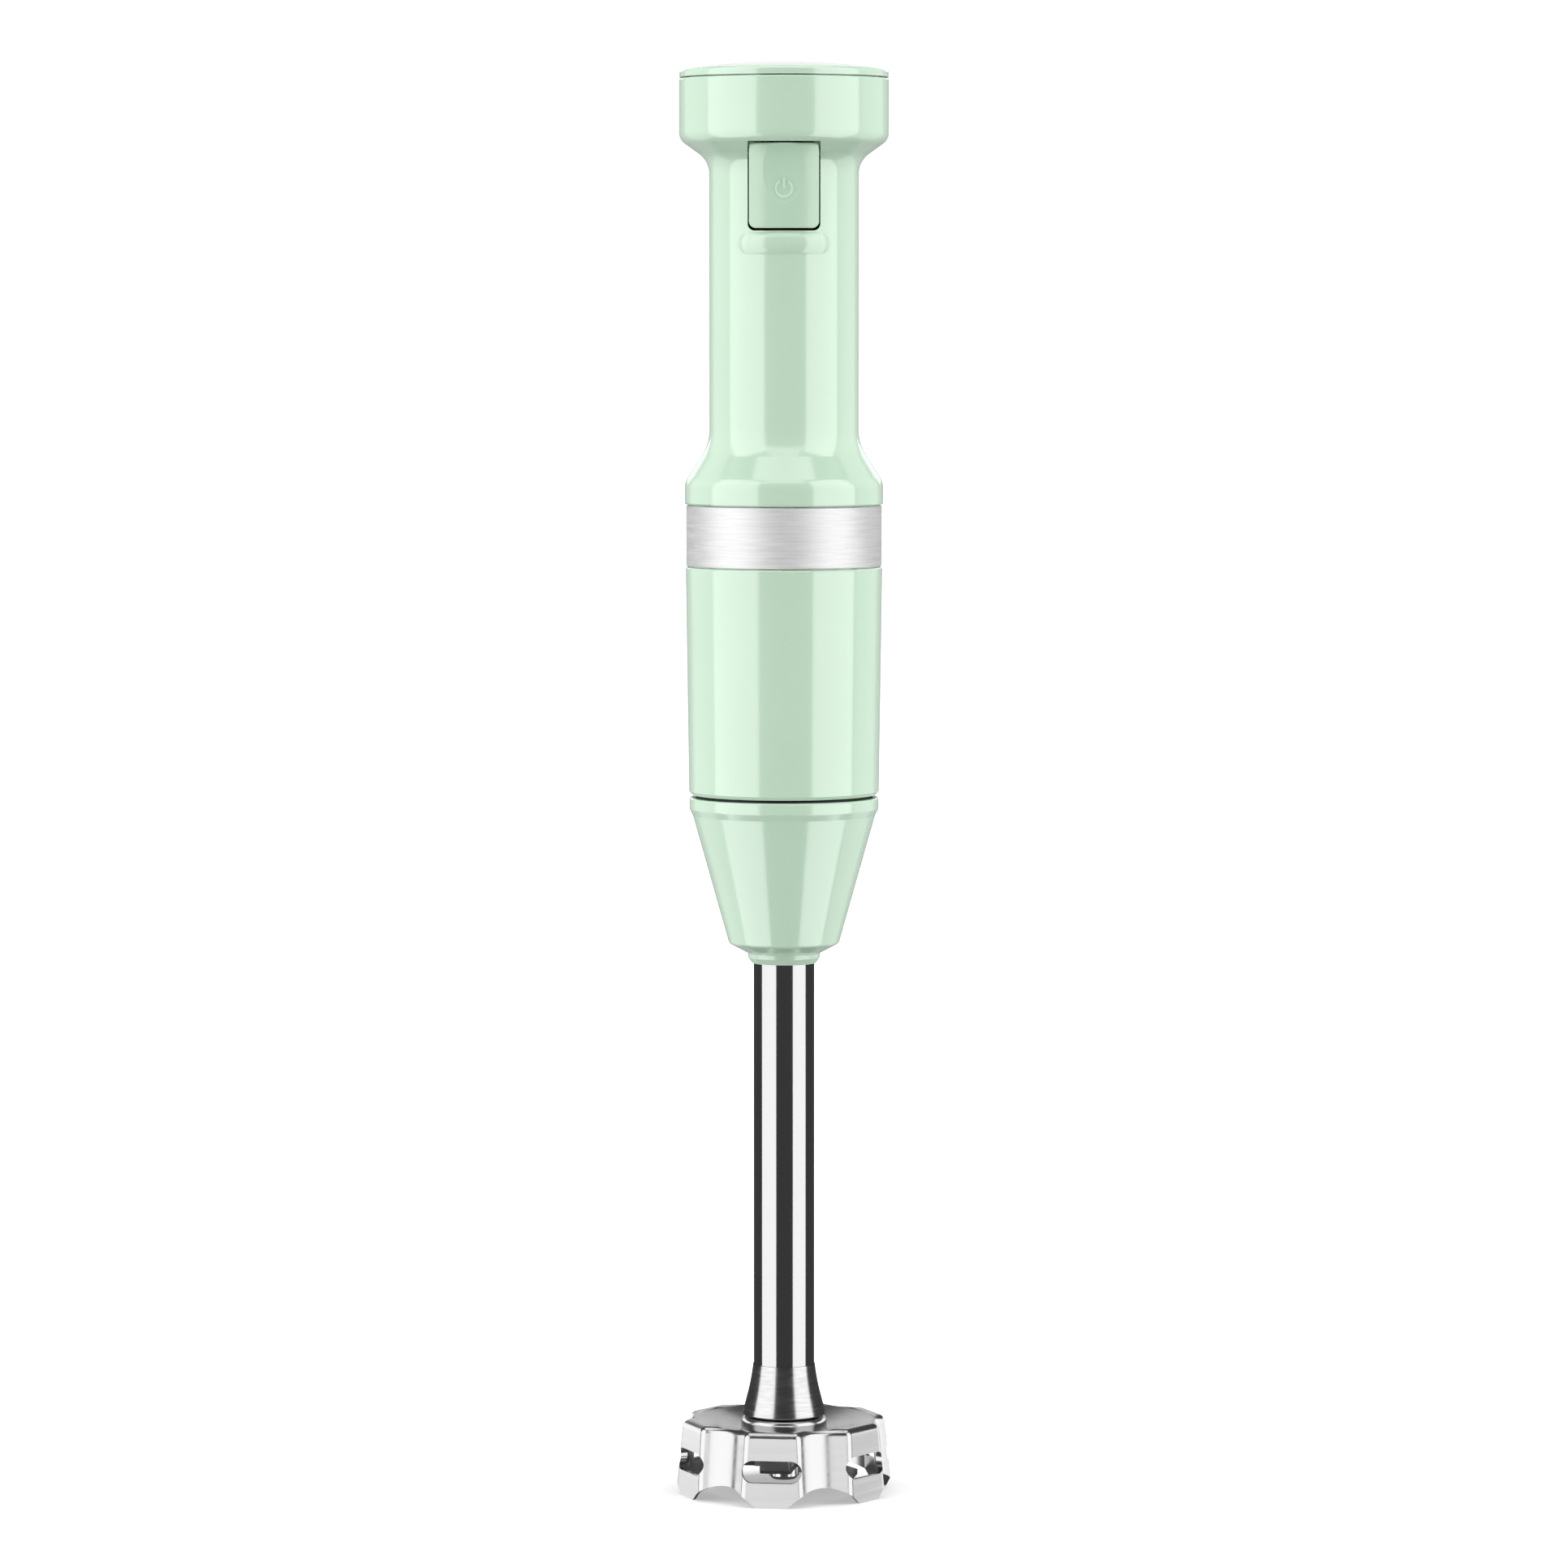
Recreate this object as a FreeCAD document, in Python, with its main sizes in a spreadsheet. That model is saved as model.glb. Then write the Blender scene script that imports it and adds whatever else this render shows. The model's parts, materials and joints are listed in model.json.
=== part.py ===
"""Immersion blender, as a parametric FreeCAD document.

The origin is at the middle of the footprint, on the surface that the bell stands on, with +Z up
along the drive axis.  The trigger faces -Y and the cord inlet faces +Y.  Lengths are millimetres.

The motor unit is a green plastic handle in two half shells over a motor sleeve.  The blending arm
plugs into the bottom of the sleeve by three bayonet lugs, and carries the drive shaft, the blade
and a six-lobed steel bell.
"""
import FreeCAD, Part
import math
import os
import re

import Sketcher

Vector = FreeCAD.Vector

DIMENSIONS = {
    "Whole object": {
        "overall_height": 414.0,
        "wall": 2.4,
        "gap": 0.3,
        "running_fit": 0.05,
    },
    "Head and handle": {
        "head_radius": 30.1,
        "head_top": 409.4,
        "head_corner": 391.9,
        "head_corner_round": 3.7,
        "handle_radius": 21.5,
        "neck_corner": 385.7,
        "neck_round": 7.0,
        "flare_top": 304.78,
        "flare_round": 13.8,
        "flare_radius": 28.6,
        "flare_bottom": 293.64,
        "flare_shoulder_round": 5.0,
        "shell_bottom": 287.2,
        "edge_round": 0.5,
    },
    "Top cap": {
        "cap_radius": 30.0,
        "cap_bottom": 409.7,
        "cap_edge_top": 411.9,
        "cap_dome_radius": 215.0,
        "cap_skirt_radius": 27.3,
        "cap_skirt_bottom": 405.6,
        "cap_skirt_wall": 1.6,
        "cap_thickness": 1.9,
        "cap_edge_round": 1.0,
    },
    "Cord inlet": {
        "inlet_height": 399.0,
        "inlet_bore": 3.5,
        "inlet_barrel": 5.2,
        "inlet_flange": 6.3,
        "inlet_flange_width": 1.6,
        "inlet_inner_end": 24.5,
        "inlet_outer_end": 30.4,
        "vent_width": 2.0,
        "vent_bottom": 396.0,
        "vent_top": 405.0,
        "vent_inset": 7.6,
        "vent_pitch": 3.4,
    },
    "Shell screws": {
        "screw_x": 20.0,
        "screw_height": 400.0,
        "screw_shank": 1.4,
        "screw_head": 2.8,
        "screw_head_height": 2.0,
        "screw_seat": 14.0,
        "screw_tip": -11.0,
        "boss_radius": 3.9,
        "boss_front_end": -15.0,
    },
    "Trim band": {
        "band_radius": 28.2,
        "band_bottom": 269.5,
        "band_top": 286.9,
        "band_wall": 0.8,
    },
    "Motor sleeve": {
        "sleeve_top_radius": 28.35,
        "sleeve_mid_radius": 27.9,
        "sleeve_low_radius": 27.45,
        "sleeve_top": 269.2,
        "sleeve_middle": 238.0,
        "sleeve_low": 206.4,
        "sleeve_bottom": 203.4,
        "sleeve_edge_radius": 26.5,
        "sleeve_inner": 25.2,
        "spigot_radius": 25.9,
        "spigot_top": 292.7,
    },
    "Trigger": {
        "opening_half_width": 10.35,
        "opening_bottom": 365.6,
        "opening_top": 390.8,
        "opening_round": 2.0,
        "button_half_width": 9.95,
        "button_bottom": 366.3,
        "button_top": 390.4,
        "button_low_round": 1.9,
        "button_high_round": 0.8,
        "button_face_low": 22.7,
        "button_face_high": 26.2,
        "button_back": 16.6,
        "button_skin": 20.4,
        "button_edge_round": 0.6,
        "dish_height": 377.5,
        "dish_radius": 40.0,
        "dish_centre": 63.5,
        "pivot_inset": 18.5,
        "pivot_height": 388.0,
        "pin_radius": 1.0,
        "pin_half_length": 12.0,
        "boss_height": 370.5,
        "boss_end": 12.3,
        "boss_size": 2.0,
        "ridge_height": 362.0,
        "ridge_radius": 5.95,
        "ridge_proud": 0.9,
        "ridge_half_angle": 28.0,
    },
    "Power symbol": {
        "symbol_radius": 2.7,
        "symbol_stroke": 0.75,
        "symbol_gap": 1.9,
        "symbol_bar_bottom": 377.3,
        "symbol_bar_top": 380.4,
        "symbol_proud": 0.15,
    },
    "Switch": {
        "sensor_front": 8.7,
        "sensor_half_width": 6.0,
        "sensor_bottom": 362.0,
        "sensor_top": 382.0,
        "plunger_head": 2.6,
        "plunger_rod": 1.5,
        "plunger_front": 12.0,
        "plunger_head_back": 11.0,
        "plunger_back": 4.0,
        "spring_radius": 2.8,
        "spring_wire": 0.25,
        "spring_pitch": 1.6,
        "spring_front": 20.1,
        "spring_back": 9.0,
        "spring_height": 378.0,
    },
    "Control board": {
        "board_front": 1.0,
        "board_thickness": 1.6,
        "board_half_width": 15.0,
        "board_bottom": 306.0,
        "board_top": 384.0,
        "capacitor_radius": 8.0,
        "capacitor_bottom": 312.0,
        "capacitor_length": 32.0,
    },
    "Motor": {
        "can_radius": 22.0,
        "can_wall": 1.4,
        "can_bottom": 224.0,
        "can_top": 282.0,
        "magnet_inner": 17.2,
        "magnet_bottom": 230.0,
        "magnet_top": 276.0,
        "end_bell_top": 290.0,
        "bearing_outer": 6.5,
        "bearing_width": 5.0,
        "shaft_radius": 2.5,
        "shaft_bottom": 205.0,
        "shaft_top": 291.5,
        "core_radius": 16.6,
        "core_bottom": 237.0,
        "core_top": 267.0,
        "slot_width": 2.6,
        "slot_bottom_radius": 9.0,
        "winding_radius": 15.4,
        "winding_bottom": 230.5,
        "winding_top": 273.5,
        "commutator_radius": 7.0,
        "commutator_bottom": 275.0,
        "commutator_top": 285.5,
        "brush_half_width": 2.5,
        "brush_bottom": 277.0,
        "brush_top": 283.5,
        "brush_outer": 14.0,
        "fan_radius": 19.5,
        "fan_hub": 6.0,
        "fan_bottom": 216.0,
        "fan_top": 222.5,
        "mount_width": 8.0,
    },
    "Bayonet": {
        "socket_outer": 25.1,
        "socket_bore": 21.5,
        "socket_bottom": 203.9,
        "socket_top": 215.0,
        "socket_floor": 213.0,
        "tab_radius": 20.3,
        "tab_top": 207.2,
        "slot_angle": 40.0,
        "collar_radius": 19.8,
        "collar_bore": 17.6,
        "collar_top": 212.0,
        "lug_radius": 21.1,
        "lug_bottom": 207.7,
        "lug_top": 210.7,
        "lug_angle": 32.0,
    },
    "Arm housing": {
        "rim_radius": 27.36,
        "rim_top": 202.6,
        "rim_bottom": 199.3,
        "cone_top": 197.4,
        "cone_top_radius": 26.4,
        "cone_bottom": 160.2,
        "cone_bottom_radius": 15.95,
        "housing_wall": 2.3,
        "nose_radius": 10.4,
        "nose_top": 157.3,
        "nose_bottom": 154.5,
        "nose_tip_radius": 9.3,
        "collar_seat_radius": 23.4,
        "collar_seat": 196.6,
        "seal_inner": 24.0,
        "seal_outer": 25.6,
        "seal_bottom": 201.4,
        "seal_top": 203.0,
    },
    "Lead clamp": {
        "clamp_half_width": 9.0,
        "clamp_gap": 3.6,
        "clamp_base": 7.0,
        "clamp_bar": 1.8,
        "clamp_inner": 13.0,
        "clamp_outer": 20.0,
        "clamp_screw_x": 7.0,
        "clamp_screw": 1.2,
        "block_rise": 4.0,
        "block_inner": 1.0,
        "block_outer": 9.0,
    },
    "Board parts": {
        "rectifier_half_width": 9.0,
        "rectifier_bottom": 344.0,
        "rectifier_top": 356.0,
        "rectifier_depth": 4.5,
        "transistor_half_width": 5.0,
        "transistor_bottom": 352.0,
        "transistor_top": 368.0,
        "transistor_depth": 4.5,
        "sink_half_width": 9.0,
        "sink_bottom": 350.0,
        "sink_top": 374.0,
        "sink_plate": 2.0,
        "sink_pitch": 4.1,
        "sink_fin_width": 1.6,
        "sink_fin_depth": 6.0,
        "choke_x": 9.0,
        "choke_height": 331.0,
        "choke_radius": 5.0,
        "choke_length": 8.0,
        "film_left": 12.0,
        "film_right": 2.0,
        "film_bottom": 324.0,
        "film_top": 338.0,
        "film_depth": 7.0,
        "board_screw_x": 12.0,
        "board_screw_height": 311.0,
        "board_screw_radius": 2.2,
        "board_screw_head": 1.6,
        "motor_lead_x": 11.0,
        "motor_lead_y": 4.0,
        "lead_radius": 1.1,
        "lead_overlap": 8.0,
        "supply_lead_x": 4.0,
        "supply_lead_y": 3.0,
        "supply_bottom": 378.0,
    },
    "Tube and bell": {
        "tube_radius": 8.8,
        "tube_wall": 0.8,
        "tube_bottom": 37.4,
        "tube_top": 196.0,
        "neck_top_radius": 9.0,
        "neck_bottom": 22.6,
        "neck_bottom_radius": 12.2,
        "neck_middle": 28.7,
        "neck_mid_radius": 10.6,
        "neck_flare_round": -60.0,
        "bead_radius": 12.45,
        "bead_top": 22.2,
        "bead_round": 1.7,
        "plate_centre": 18.5,
        "plate_rim": 21.5,
        "plate_rim_radius": 27.4,
        "sheet": 1.2,
        "bell_top": 21.6,
        "panel_top": 29.0,
        "panel_foot": 30.6,
        "panel_edge_round": 2.6,
        "flute_radius": 15.0,
        "flute_centre_foot": 43.77,
        "flute_centre_top": 41.67,
        "bell_turn": -7.0,
        "bell_edge_round": 2.2,
        "window_half_width": 8.75,
        "window_half_height": 3.2,
        "window_height": 10.4,
        "foot_half_gap": 11.4,
        "foot_step_half_gap": 9.3,
        "foot_step": 2.0,
        "arch_radius": 15.1,
    },
    "Drive shaft and blade": {
        "drive_radius": 3.0,
        "drive_bottom": 4.6,
        "drive_top": 202.4,
        "bush_outer": 5.9,
        "upper_bush_bottom": 190.0,
        "upper_bush_top": 200.0,
        "upper_bush_flange": 7.4,
        "lower_bush_bottom": 19.0,
        "lower_bush_top": 31.0,
        "seal_radius": 6.6,
        "hex_radius": 4.9,
        "hex_socket_radius": 5.35,
        "coupling_radius": 8.4,
        "coupling_bottom": 201.4,
        "coupling_socket": 204.2,
        "coupling_top": 211.2,
        "driver_bottom": 204.8,
        "driver_top": 212.4,
        "driver_hub_radius": 7.4,
        "blade_thickness": 1.4,
        "blade_height": 7.6,
        "blade_reach": 21.0,
        "blade_tab_radius": 16.4,
        "blade_tab_top": 14.0,
        "blade_half_width": 4.4,
        "blade_turn": -9.0,
        "hub_radius": 4.8,
        "hub_top": 16.4,
        "nut_radius": 4.4,
    },
}

# Angles and counts that repeat around an axis.
LOBES = 6
LOBE_STEP = 360.0 / LOBES
BAYONET_LUGS = 3
ARMATURE_SLOTS = 12
FAN_BLADES = 9
VENTS_PER_SIDE = 3
SINK_FINS = 5

doc = FreeCAD.newDocument("ImmersionBlender")
sheet = doc.addObject("Spreadsheet::Sheet", "Dims")
pieces = []


def fill_sheet():
    """One row per driving dimension: its name, then its value under that name as an alias."""
    row = 0
    for group, sizes in DIMENSIONS.items():
        row += 1
        sheet.set("A%d" % row, group)
        for alias, size in sizes.items():
            row += 1
            sheet.set("A%d" % row, alias)
            sheet.set("B%d" % row, str(size))
            sheet.setAlias("B%d" % row, alias)
    doc.recompute()


ALIASES = {alias for sizes in DIMENSIONS.values() for alias in sizes}


def bound(text):
    """The expression with each dimension's name pointing at the sheet."""
    return re.sub(r"[a-z][a-z_]*[a-z]", lambda m: "Dims." * (m.group(0) in ALIASES) + m.group(0), text)


def size(text):
    return float(sheet.evalExpression(text))


def bind(feature, field, text):
    """Sets a size of a feature and ties it to the sheet."""
    feature.setExpression(field, bound(text))


def origin_part(body, role):
    return next(item for item in body.Origin.OriginFeatures if item.Role == role)


def new_body(name):
    body = doc.addObject("PartDesign::Body", name)
    body.Label = name
    pieces.append(body)
    return body


def new_sketch(body, plane="XZ_Plane", offset=None):
    """A sketch on one of the body's own origin planes, moved along its normal by offset."""
    sketch = body.newObject("Sketcher::SketchObject", body.Name + "_sketch")
    sketch.AttachmentSupport = (origin_part(body, plane), [""])
    sketch.MapMode = "FlatFace"
    if offset is not None:
        bind(sketch, "AttachmentOffset.Base.z", offset)
    return sketch


def pinned(edge, end, corner):
    """Ties one end of an edge to the two expressions of its corner."""
    sides = zip(("DistanceX", "DistanceY"), corner)
    return [(Sketcher.Constraint(side, edge, end, size(text)), text) for side, text in sides]


def constrain(sketch, ties):
    """Adds all the constraints at once, so that nothing moves, and then their expressions."""
    first = sketch.ConstraintCount
    sketch.addConstraint([constraint for constraint, _ in ties])
    for number, (_, text) in enumerate(ties, first):
        if text is not None:
            sketch.setExpression("Constraints[%d]" % number, bound(text))


def arc_between(start, end, radius):
    """The short arc from start to end, anticlockwise for a radius above zero and clockwise below.
    A sketch stores every arc anticlockwise, so a clockwise one is made from its other end."""
    if radius < 0:
        start, end = end, start
    half = (end - start) * 0.5
    inward = Vector(-half.y, half.x, 0).normalize()
    centre = start + half + inward * (radius * radius - half.Length ** 2) ** 0.5
    circle = Part.Circle(centre, Vector(0, 0, 1), abs(radius))
    angles = [math.atan2(point.y - centre.y, point.x - centre.x) for point in (start, end)]
    if angles[1] < angles[0]:
        angles[1] += 2 * math.pi
    return Part.ArcOfCircle(circle, angles[0], angles[1])


def draw_loop(sketch, corners):
    """A closed outline.  A corner is (x, y), or (x, y, radius) where an arc of that radius runs to
    the next corner, anticlockwise unless the radius is negative."""
    first = sketch.GeometryCount
    count = len(corners)
    points = [Vector(size(corner[0]), size(corner[1]), 0) for corner in corners]
    starts = []
    for index, corner in enumerate(corners):
        ends = (points[index], points[(index + 1) % count])
        bent = len(corner) == 3
        clockwise = bent and size(corner[2]) < 0
        curve = arc_between(*ends, size(corner[2])) if bent else Part.LineSegment(*ends)
        sketch.addGeometry(curve, False)
        starts.append(2 if clockwise else 1)
    ties = []
    for index, corner in enumerate(corners):
        edge = first + index
        after = (index + 1) % count
        meeting = Sketcher.Constraint("Coincident", edge, 3 - starts[index], first + after, starts[after])
        ties.append((meeting, None))
        ties += pinned(edge, starts[index], corner[:2])
        if len(corner) == 3:
            bend = "abs(%s)" % corner[2]
            ties.append((Sketcher.Constraint("Radius", edge, size(bend)), bend))
    constrain(sketch, ties)


def draw_circle(sketch, x, y, radius):
    circle = Part.Circle(Vector(size(x), size(y), 0), Vector(0, 0, 1), size(radius))
    edge = sketch.addGeometry(circle, False)
    width = Sketcher.Constraint("Radius", edge, size(radius))
    constrain(sketch, [(width, radius)] + pinned(edge, 3, (x, y)))


def box_corners(left, right, low, high):
    return [(left, low), (right, low), (right, high), (left, high)]


def revolve(body, corners, angle=360.0, front=False, kind="PartDesign::Revolution"):
    """Turns an outline of (radius, height) corners round the Z axis."""
    sketch = new_sketch(body)
    draw_loop(sketch, corners)
    feature = body.newObject(kind, body.Name + "_turned")
    feature.Profile = sketch
    feature.ReferenceAxis = (origin_part(body, "Z_Axis"), [""])
    feature.Angle = angle
    feature.Reversed = front
    doc.recompute()
    return feature


def groove(body, corners):
    return revolve(body, corners, kind="PartDesign::Groove")


def pad(body, sketch, length, back=False, both=False):
    """Raises a sketch along its normal, or against it when back is set."""
    feature = body.newObject("PartDesign::Pad", body.Name + "_pad")
    feature.Profile = sketch
    bind(feature, "Length", length)
    feature.Reversed = back
    feature.SideType = "Symmetric" if both else "One side"
    doc.recompute()
    return feature


def pocket(body, sketch, length, along=False, both=False):
    """Cuts a sketch against its normal, or along it when along is set."""
    feature = body.newObject("PartDesign::Pocket", body.Name + "_pocket")
    feature.Profile = sketch
    bind(feature, "Length", length)
    feature.Reversed = along
    feature.SideType = "Symmetric" if both else "One side"
    doc.recompute()
    return feature


def repeat_round(body, features, count, angle=360.0):
    """Repeats features round the body's Z axis."""
    pattern = body.newObject("PartDesign::PolarPattern", body.Name + "_pattern")
    pattern.Originals = features
    pattern.Axis = (origin_part(body, "Z_Axis"), [""])
    pattern.Angle = angle
    pattern.Occurrences = count
    body.Tip = pattern
    doc.recompute()
    return pattern


def mirror_side(body, features):
    """Repeats features on the other side of the YZ plane."""
    mirrored = body.newObject("PartDesign::Mirrored", body.Name + "_mirror")
    mirrored.Originals = features
    mirrored.MirrorPlane = (origin_part(body, "YZ_Plane"), [""])
    body.Tip = mirrored
    doc.recompute()
    return mirrored


def round_edges(body, radius, chosen):
    """Rounds the edges of the body's tip that the test picks."""
    base = body.Tip
    names = ["Edge%d" % (i + 1) for i, edge in enumerate(base.Shape.Edges) if chosen(edge)]
    if not names:
        raise RuntimeError("%s has no edge to round" % body.Name)
    fillet = body.newObject("PartDesign::Fillet", body.Name + "_fillet")
    fillet.Base = (base, names)
    bind(fillet, "Radius", radius)
    doc.recompute()
    return fillet


def ring_at(radius, height):
    """A test for circular edges round Z at a radius and height."""
    wanted = (size(radius), size(height))

    def test(edge):
        if edge.Degenerated or not isinstance(edge.Curve, Part.Circle):
            return False
        centre = edge.Curve.Center
        off_axis = (centre.x ** 2 + centre.y ** 2) ** 0.5
        near = abs(edge.Curve.Radius - wanted[0]) < 0.01 and abs(centre.z - wanted[1]) < 0.01
        return near and off_axis < 0.01

    return test


def ring(name, inner, outer, bottom, top):
    """A plain ring round the Z axis."""
    body = new_body(name)
    revolve(body, box_corners(inner, outer, bottom, top))
    return body


def y_cylinder(body, x, z, radius, start, end, cut=False):
    """A cylinder along Y, from y = -start to y = -end, added to or cut from a body."""
    sketch = new_sketch(body, offset=start)
    draw_circle(sketch, x, z, radius)
    if cut:
        return pocket(body, sketch, "%s - (%s)" % (end, start), along=True)
    return pad(body, sketch, "%s - (%s)" % (end, start))


def y_box(body, left, right, low, high, start, end, cut=False):
    """A block from y = -start to y = -end, added to or cut from a body."""
    sketch = new_sketch(body, offset=start)
    draw_loop(sketch, box_corners(left, right, low, high))
    if cut:
        return pocket(body, sketch, "%s - (%s)" % (end, start), along=True)
    return pad(body, sketch, "%s - (%s)" % (end, start))


# ---------------------------------------------------------------- head, handle and sleeve


def shell_outline():
    """The wall of the handle, as radius and height: the outside upwards, the inside downwards."""
    return [
        ("flare_radius", "shell_bottom"),
        ("flare_radius", "flare_bottom"),
        ("handle_radius", "flare_top"),
        ("handle_radius", "neck_corner"),
        ("head_radius", "head_corner"),
        ("head_radius", "head_top"),
        ("head_radius - wall", "head_top"),
        ("head_radius - wall", "head_corner + 1.2"),
        ("handle_radius - wall", "neck_corner + 1.2"),
        ("handle_radius - wall", "flare_top - 0.8"),
        ("flare_radius - wall", "flare_bottom - 0.8"),
        ("flare_radius - wall", "shell_bottom"),
    ]


def half_shell(name, front):
    """Half of the handle wall, with its outside corners rounded."""
    body = new_body(name)
    revolve(body, shell_outline(), angle=180.0, front=front)
    round_edges(body, "neck_round", ring_at("handle_radius", "neck_corner"))
    round_edges(body, "head_corner_round", ring_at("head_radius", "head_corner"))
    round_edges(body, "flare_round", ring_at("handle_radius", "flare_top"))
    round_edges(body, "flare_shoulder_round", ring_at("flare_radius", "flare_bottom"))
    round_edges(body, "edge_round", ring_at("flare_radius", "shell_bottom"))
    round_edges(body, "edge_round", ring_at("head_radius", "head_top"))
    return body


def add_thumb_ridge(body):
    """A low bar with round ends that follows the handle just under the trigger."""
    centre_radius = "handle_radius + ridge_proud - ridge_radius"
    height = size("ridge_height")
    start_angle = -90 - size("ridge_half_angle")
    bar = body.newObject("PartDesign::AdditiveTorus", "thumb_ridge")
    bind(bar, "Radius1", centre_radius)
    bind(bar, "Radius2", "ridge_radius")
    bind(bar, "Angle3", "2 * ridge_half_angle")
    turn = FreeCAD.Rotation(Vector(0, 0, 1), start_angle)
    bar.Placement = FreeCAD.Placement(Vector(0, 0, height), turn)
    for side in (-1, 1):
        end = math.radians(-90 + side * size("ridge_half_angle"))
        reach = size(centre_radius)
        ball = body.newObject("PartDesign::AdditiveSphere", "ridge_end")
        bind(ball, "Radius", "ridge_radius")
        ball.Placement.Base = Vector(reach * math.cos(end), reach * math.sin(end), height)
    doc.recompute()
    # Whatever of the bar stands inside the handle's wall is cut away again.
    low = "ridge_height - ridge_radius - 0.1"
    groove(body, box_corners("8", "handle_radius - wall", low, "ridge_height + ridge_radius + 0.1"))


def make_front_shell():
    body = half_shell("front_shell", front=True)
    add_thumb_ridge(body)
    for side in ("screw_x", "-screw_x"):
        y_cylinder(body, side, "screw_height", "boss_radius", "2", "-boss_front_end + 6")
        y_cylinder(body, side, "screw_height", "screw_shank", "0", "-screw_tip", cut=True)
    trim_bosses(body)
    sketch = new_sketch(body, offset="8")
    opening = box_corners("-opening_half_width", "opening_half_width", "opening_bottom", "opening_top")
    draw_loop(sketch, rounded_box(opening, "opening_round", "0.2"))
    pocket(body, sketch, "30", along=True)
    # Two blind holes in the wall hold the ends of the trigger pin.
    sketch = new_sketch(body, plane="YZ_Plane")
    draw_circle(sketch, "-pivot_inset", "pivot_height", "pin_radius")
    pocket(body, sketch, "2 * pin_half_length", both=True)


def rounded_box(corners, low_radius, high_radius):
    """The outline of an upright rectangle with its own radius at the bottom and top corners."""
    (left, low), (right, _), (_, high), _ = corners
    return [
        ("%s + %s" % (left, low_radius), low),
        ("%s - %s" % (right, low_radius), low, low_radius),
        (right, "%s + %s" % (low, low_radius)),
        (right, "%s - %s" % (high, high_radius), high_radius),
        ("%s - %s" % (right, high_radius), high),
        ("%s + %s" % (left, high_radius), high, high_radius),
        (left, "%s - %s" % (high, high_radius)),
        (left, "%s + %s" % (low, low_radius), low_radius),
    ]


def trim_bosses(body):
    """Cuts whatever stands outside the head, so that a boss ends inside its wall."""
    groove(
        body,
        box_corners("head_radius", "head_radius + 20", "screw_height - 5", "screw_height + 5"),
    )


def make_rear_shell():
    body = half_shell("rear_shell", front=False)
    y_cylinder(body, "0", "inlet_height", "inlet_barrel", "-head_radius - 5", "-head_radius + 8", cut=True)
    for side in ("screw_x", "-screw_x"):
        y_cylinder(body, side, "screw_height", "boss_radius", "-screw_seat - 6", "-2")
    trim_bosses(body)
    for side in ("screw_x", "-screw_x"):
        y_cylinder(body, side, "screw_height", "screw_shank", "-screw_seat - 2", "0", cut=True)
        y_cylinder(body, side, "screw_height", "screw_head", "-head_radius - 5", "-screw_seat", cut=True)
    for number in range(VENTS_PER_SIDE):
        left = "vent_inset + %d * vent_pitch" % number
        vent = y_box(
            body,
            left,
            left + " + vent_width",
            "vent_bottom",
            "vent_top",
            "-head_radius - 5",
            "-head_radius + 12",
            cut=True,
        )
        mirror_side(body, [vent])


def make_top_cap():
    body = new_body("top_cap")
    crown = "overall_height"
    revolve(
        body,
        [
            ("0", crown + " - cap_thickness"),
            ("cap_skirt_radius - cap_skirt_wall", "cap_bottom"),
            ("cap_skirt_radius - cap_skirt_wall", "cap_skirt_bottom"),
            ("cap_skirt_radius", "cap_skirt_bottom"),
            ("cap_skirt_radius", "cap_bottom"),
            ("cap_radius", "cap_bottom"),
            ("cap_radius", "cap_edge_top", "cap_dome_radius"),
            ("0", crown),
        ],
    )
    round_edges(body, "cap_edge_round", ring_at("cap_radius", "cap_edge_top"))


def make_sleeve():
    body = new_body("motor_sleeve")
    neck = "band_radius - band_wall - 0.02"
    revolve(
        body,
        [
            ("sleeve_inner", "sleeve_bottom"),
            ("sleeve_edge_radius", "sleeve_bottom"),
            ("sleeve_low_radius", "sleeve_bottom + 1"),
            ("sleeve_low_radius", "sleeve_low"),
            ("sleeve_mid_radius", "sleeve_middle"),
            ("sleeve_top_radius", "sleeve_top"),
            (neck, "sleeve_top"),
            (neck, "shell_bottom - 0.05"),
            ("spigot_radius", "shell_bottom - 0.05"),
            ("spigot_radius", "spigot_top"),
            ("sleeve_inner", "spigot_top"),
        ],
    )
    round_edges(body, "edge_round", ring_at("sleeve_top_radius", "sleeve_top"))


def make_trim_band():
    body = ring("trim_band", "band_radius - band_wall", "band_radius", "band_bottom", "band_top")
    round_edges(body, "0.25", ring_at("band_radius", "band_top"))
    round_edges(body, "0.25", ring_at("band_radius", "band_bottom"))


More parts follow.
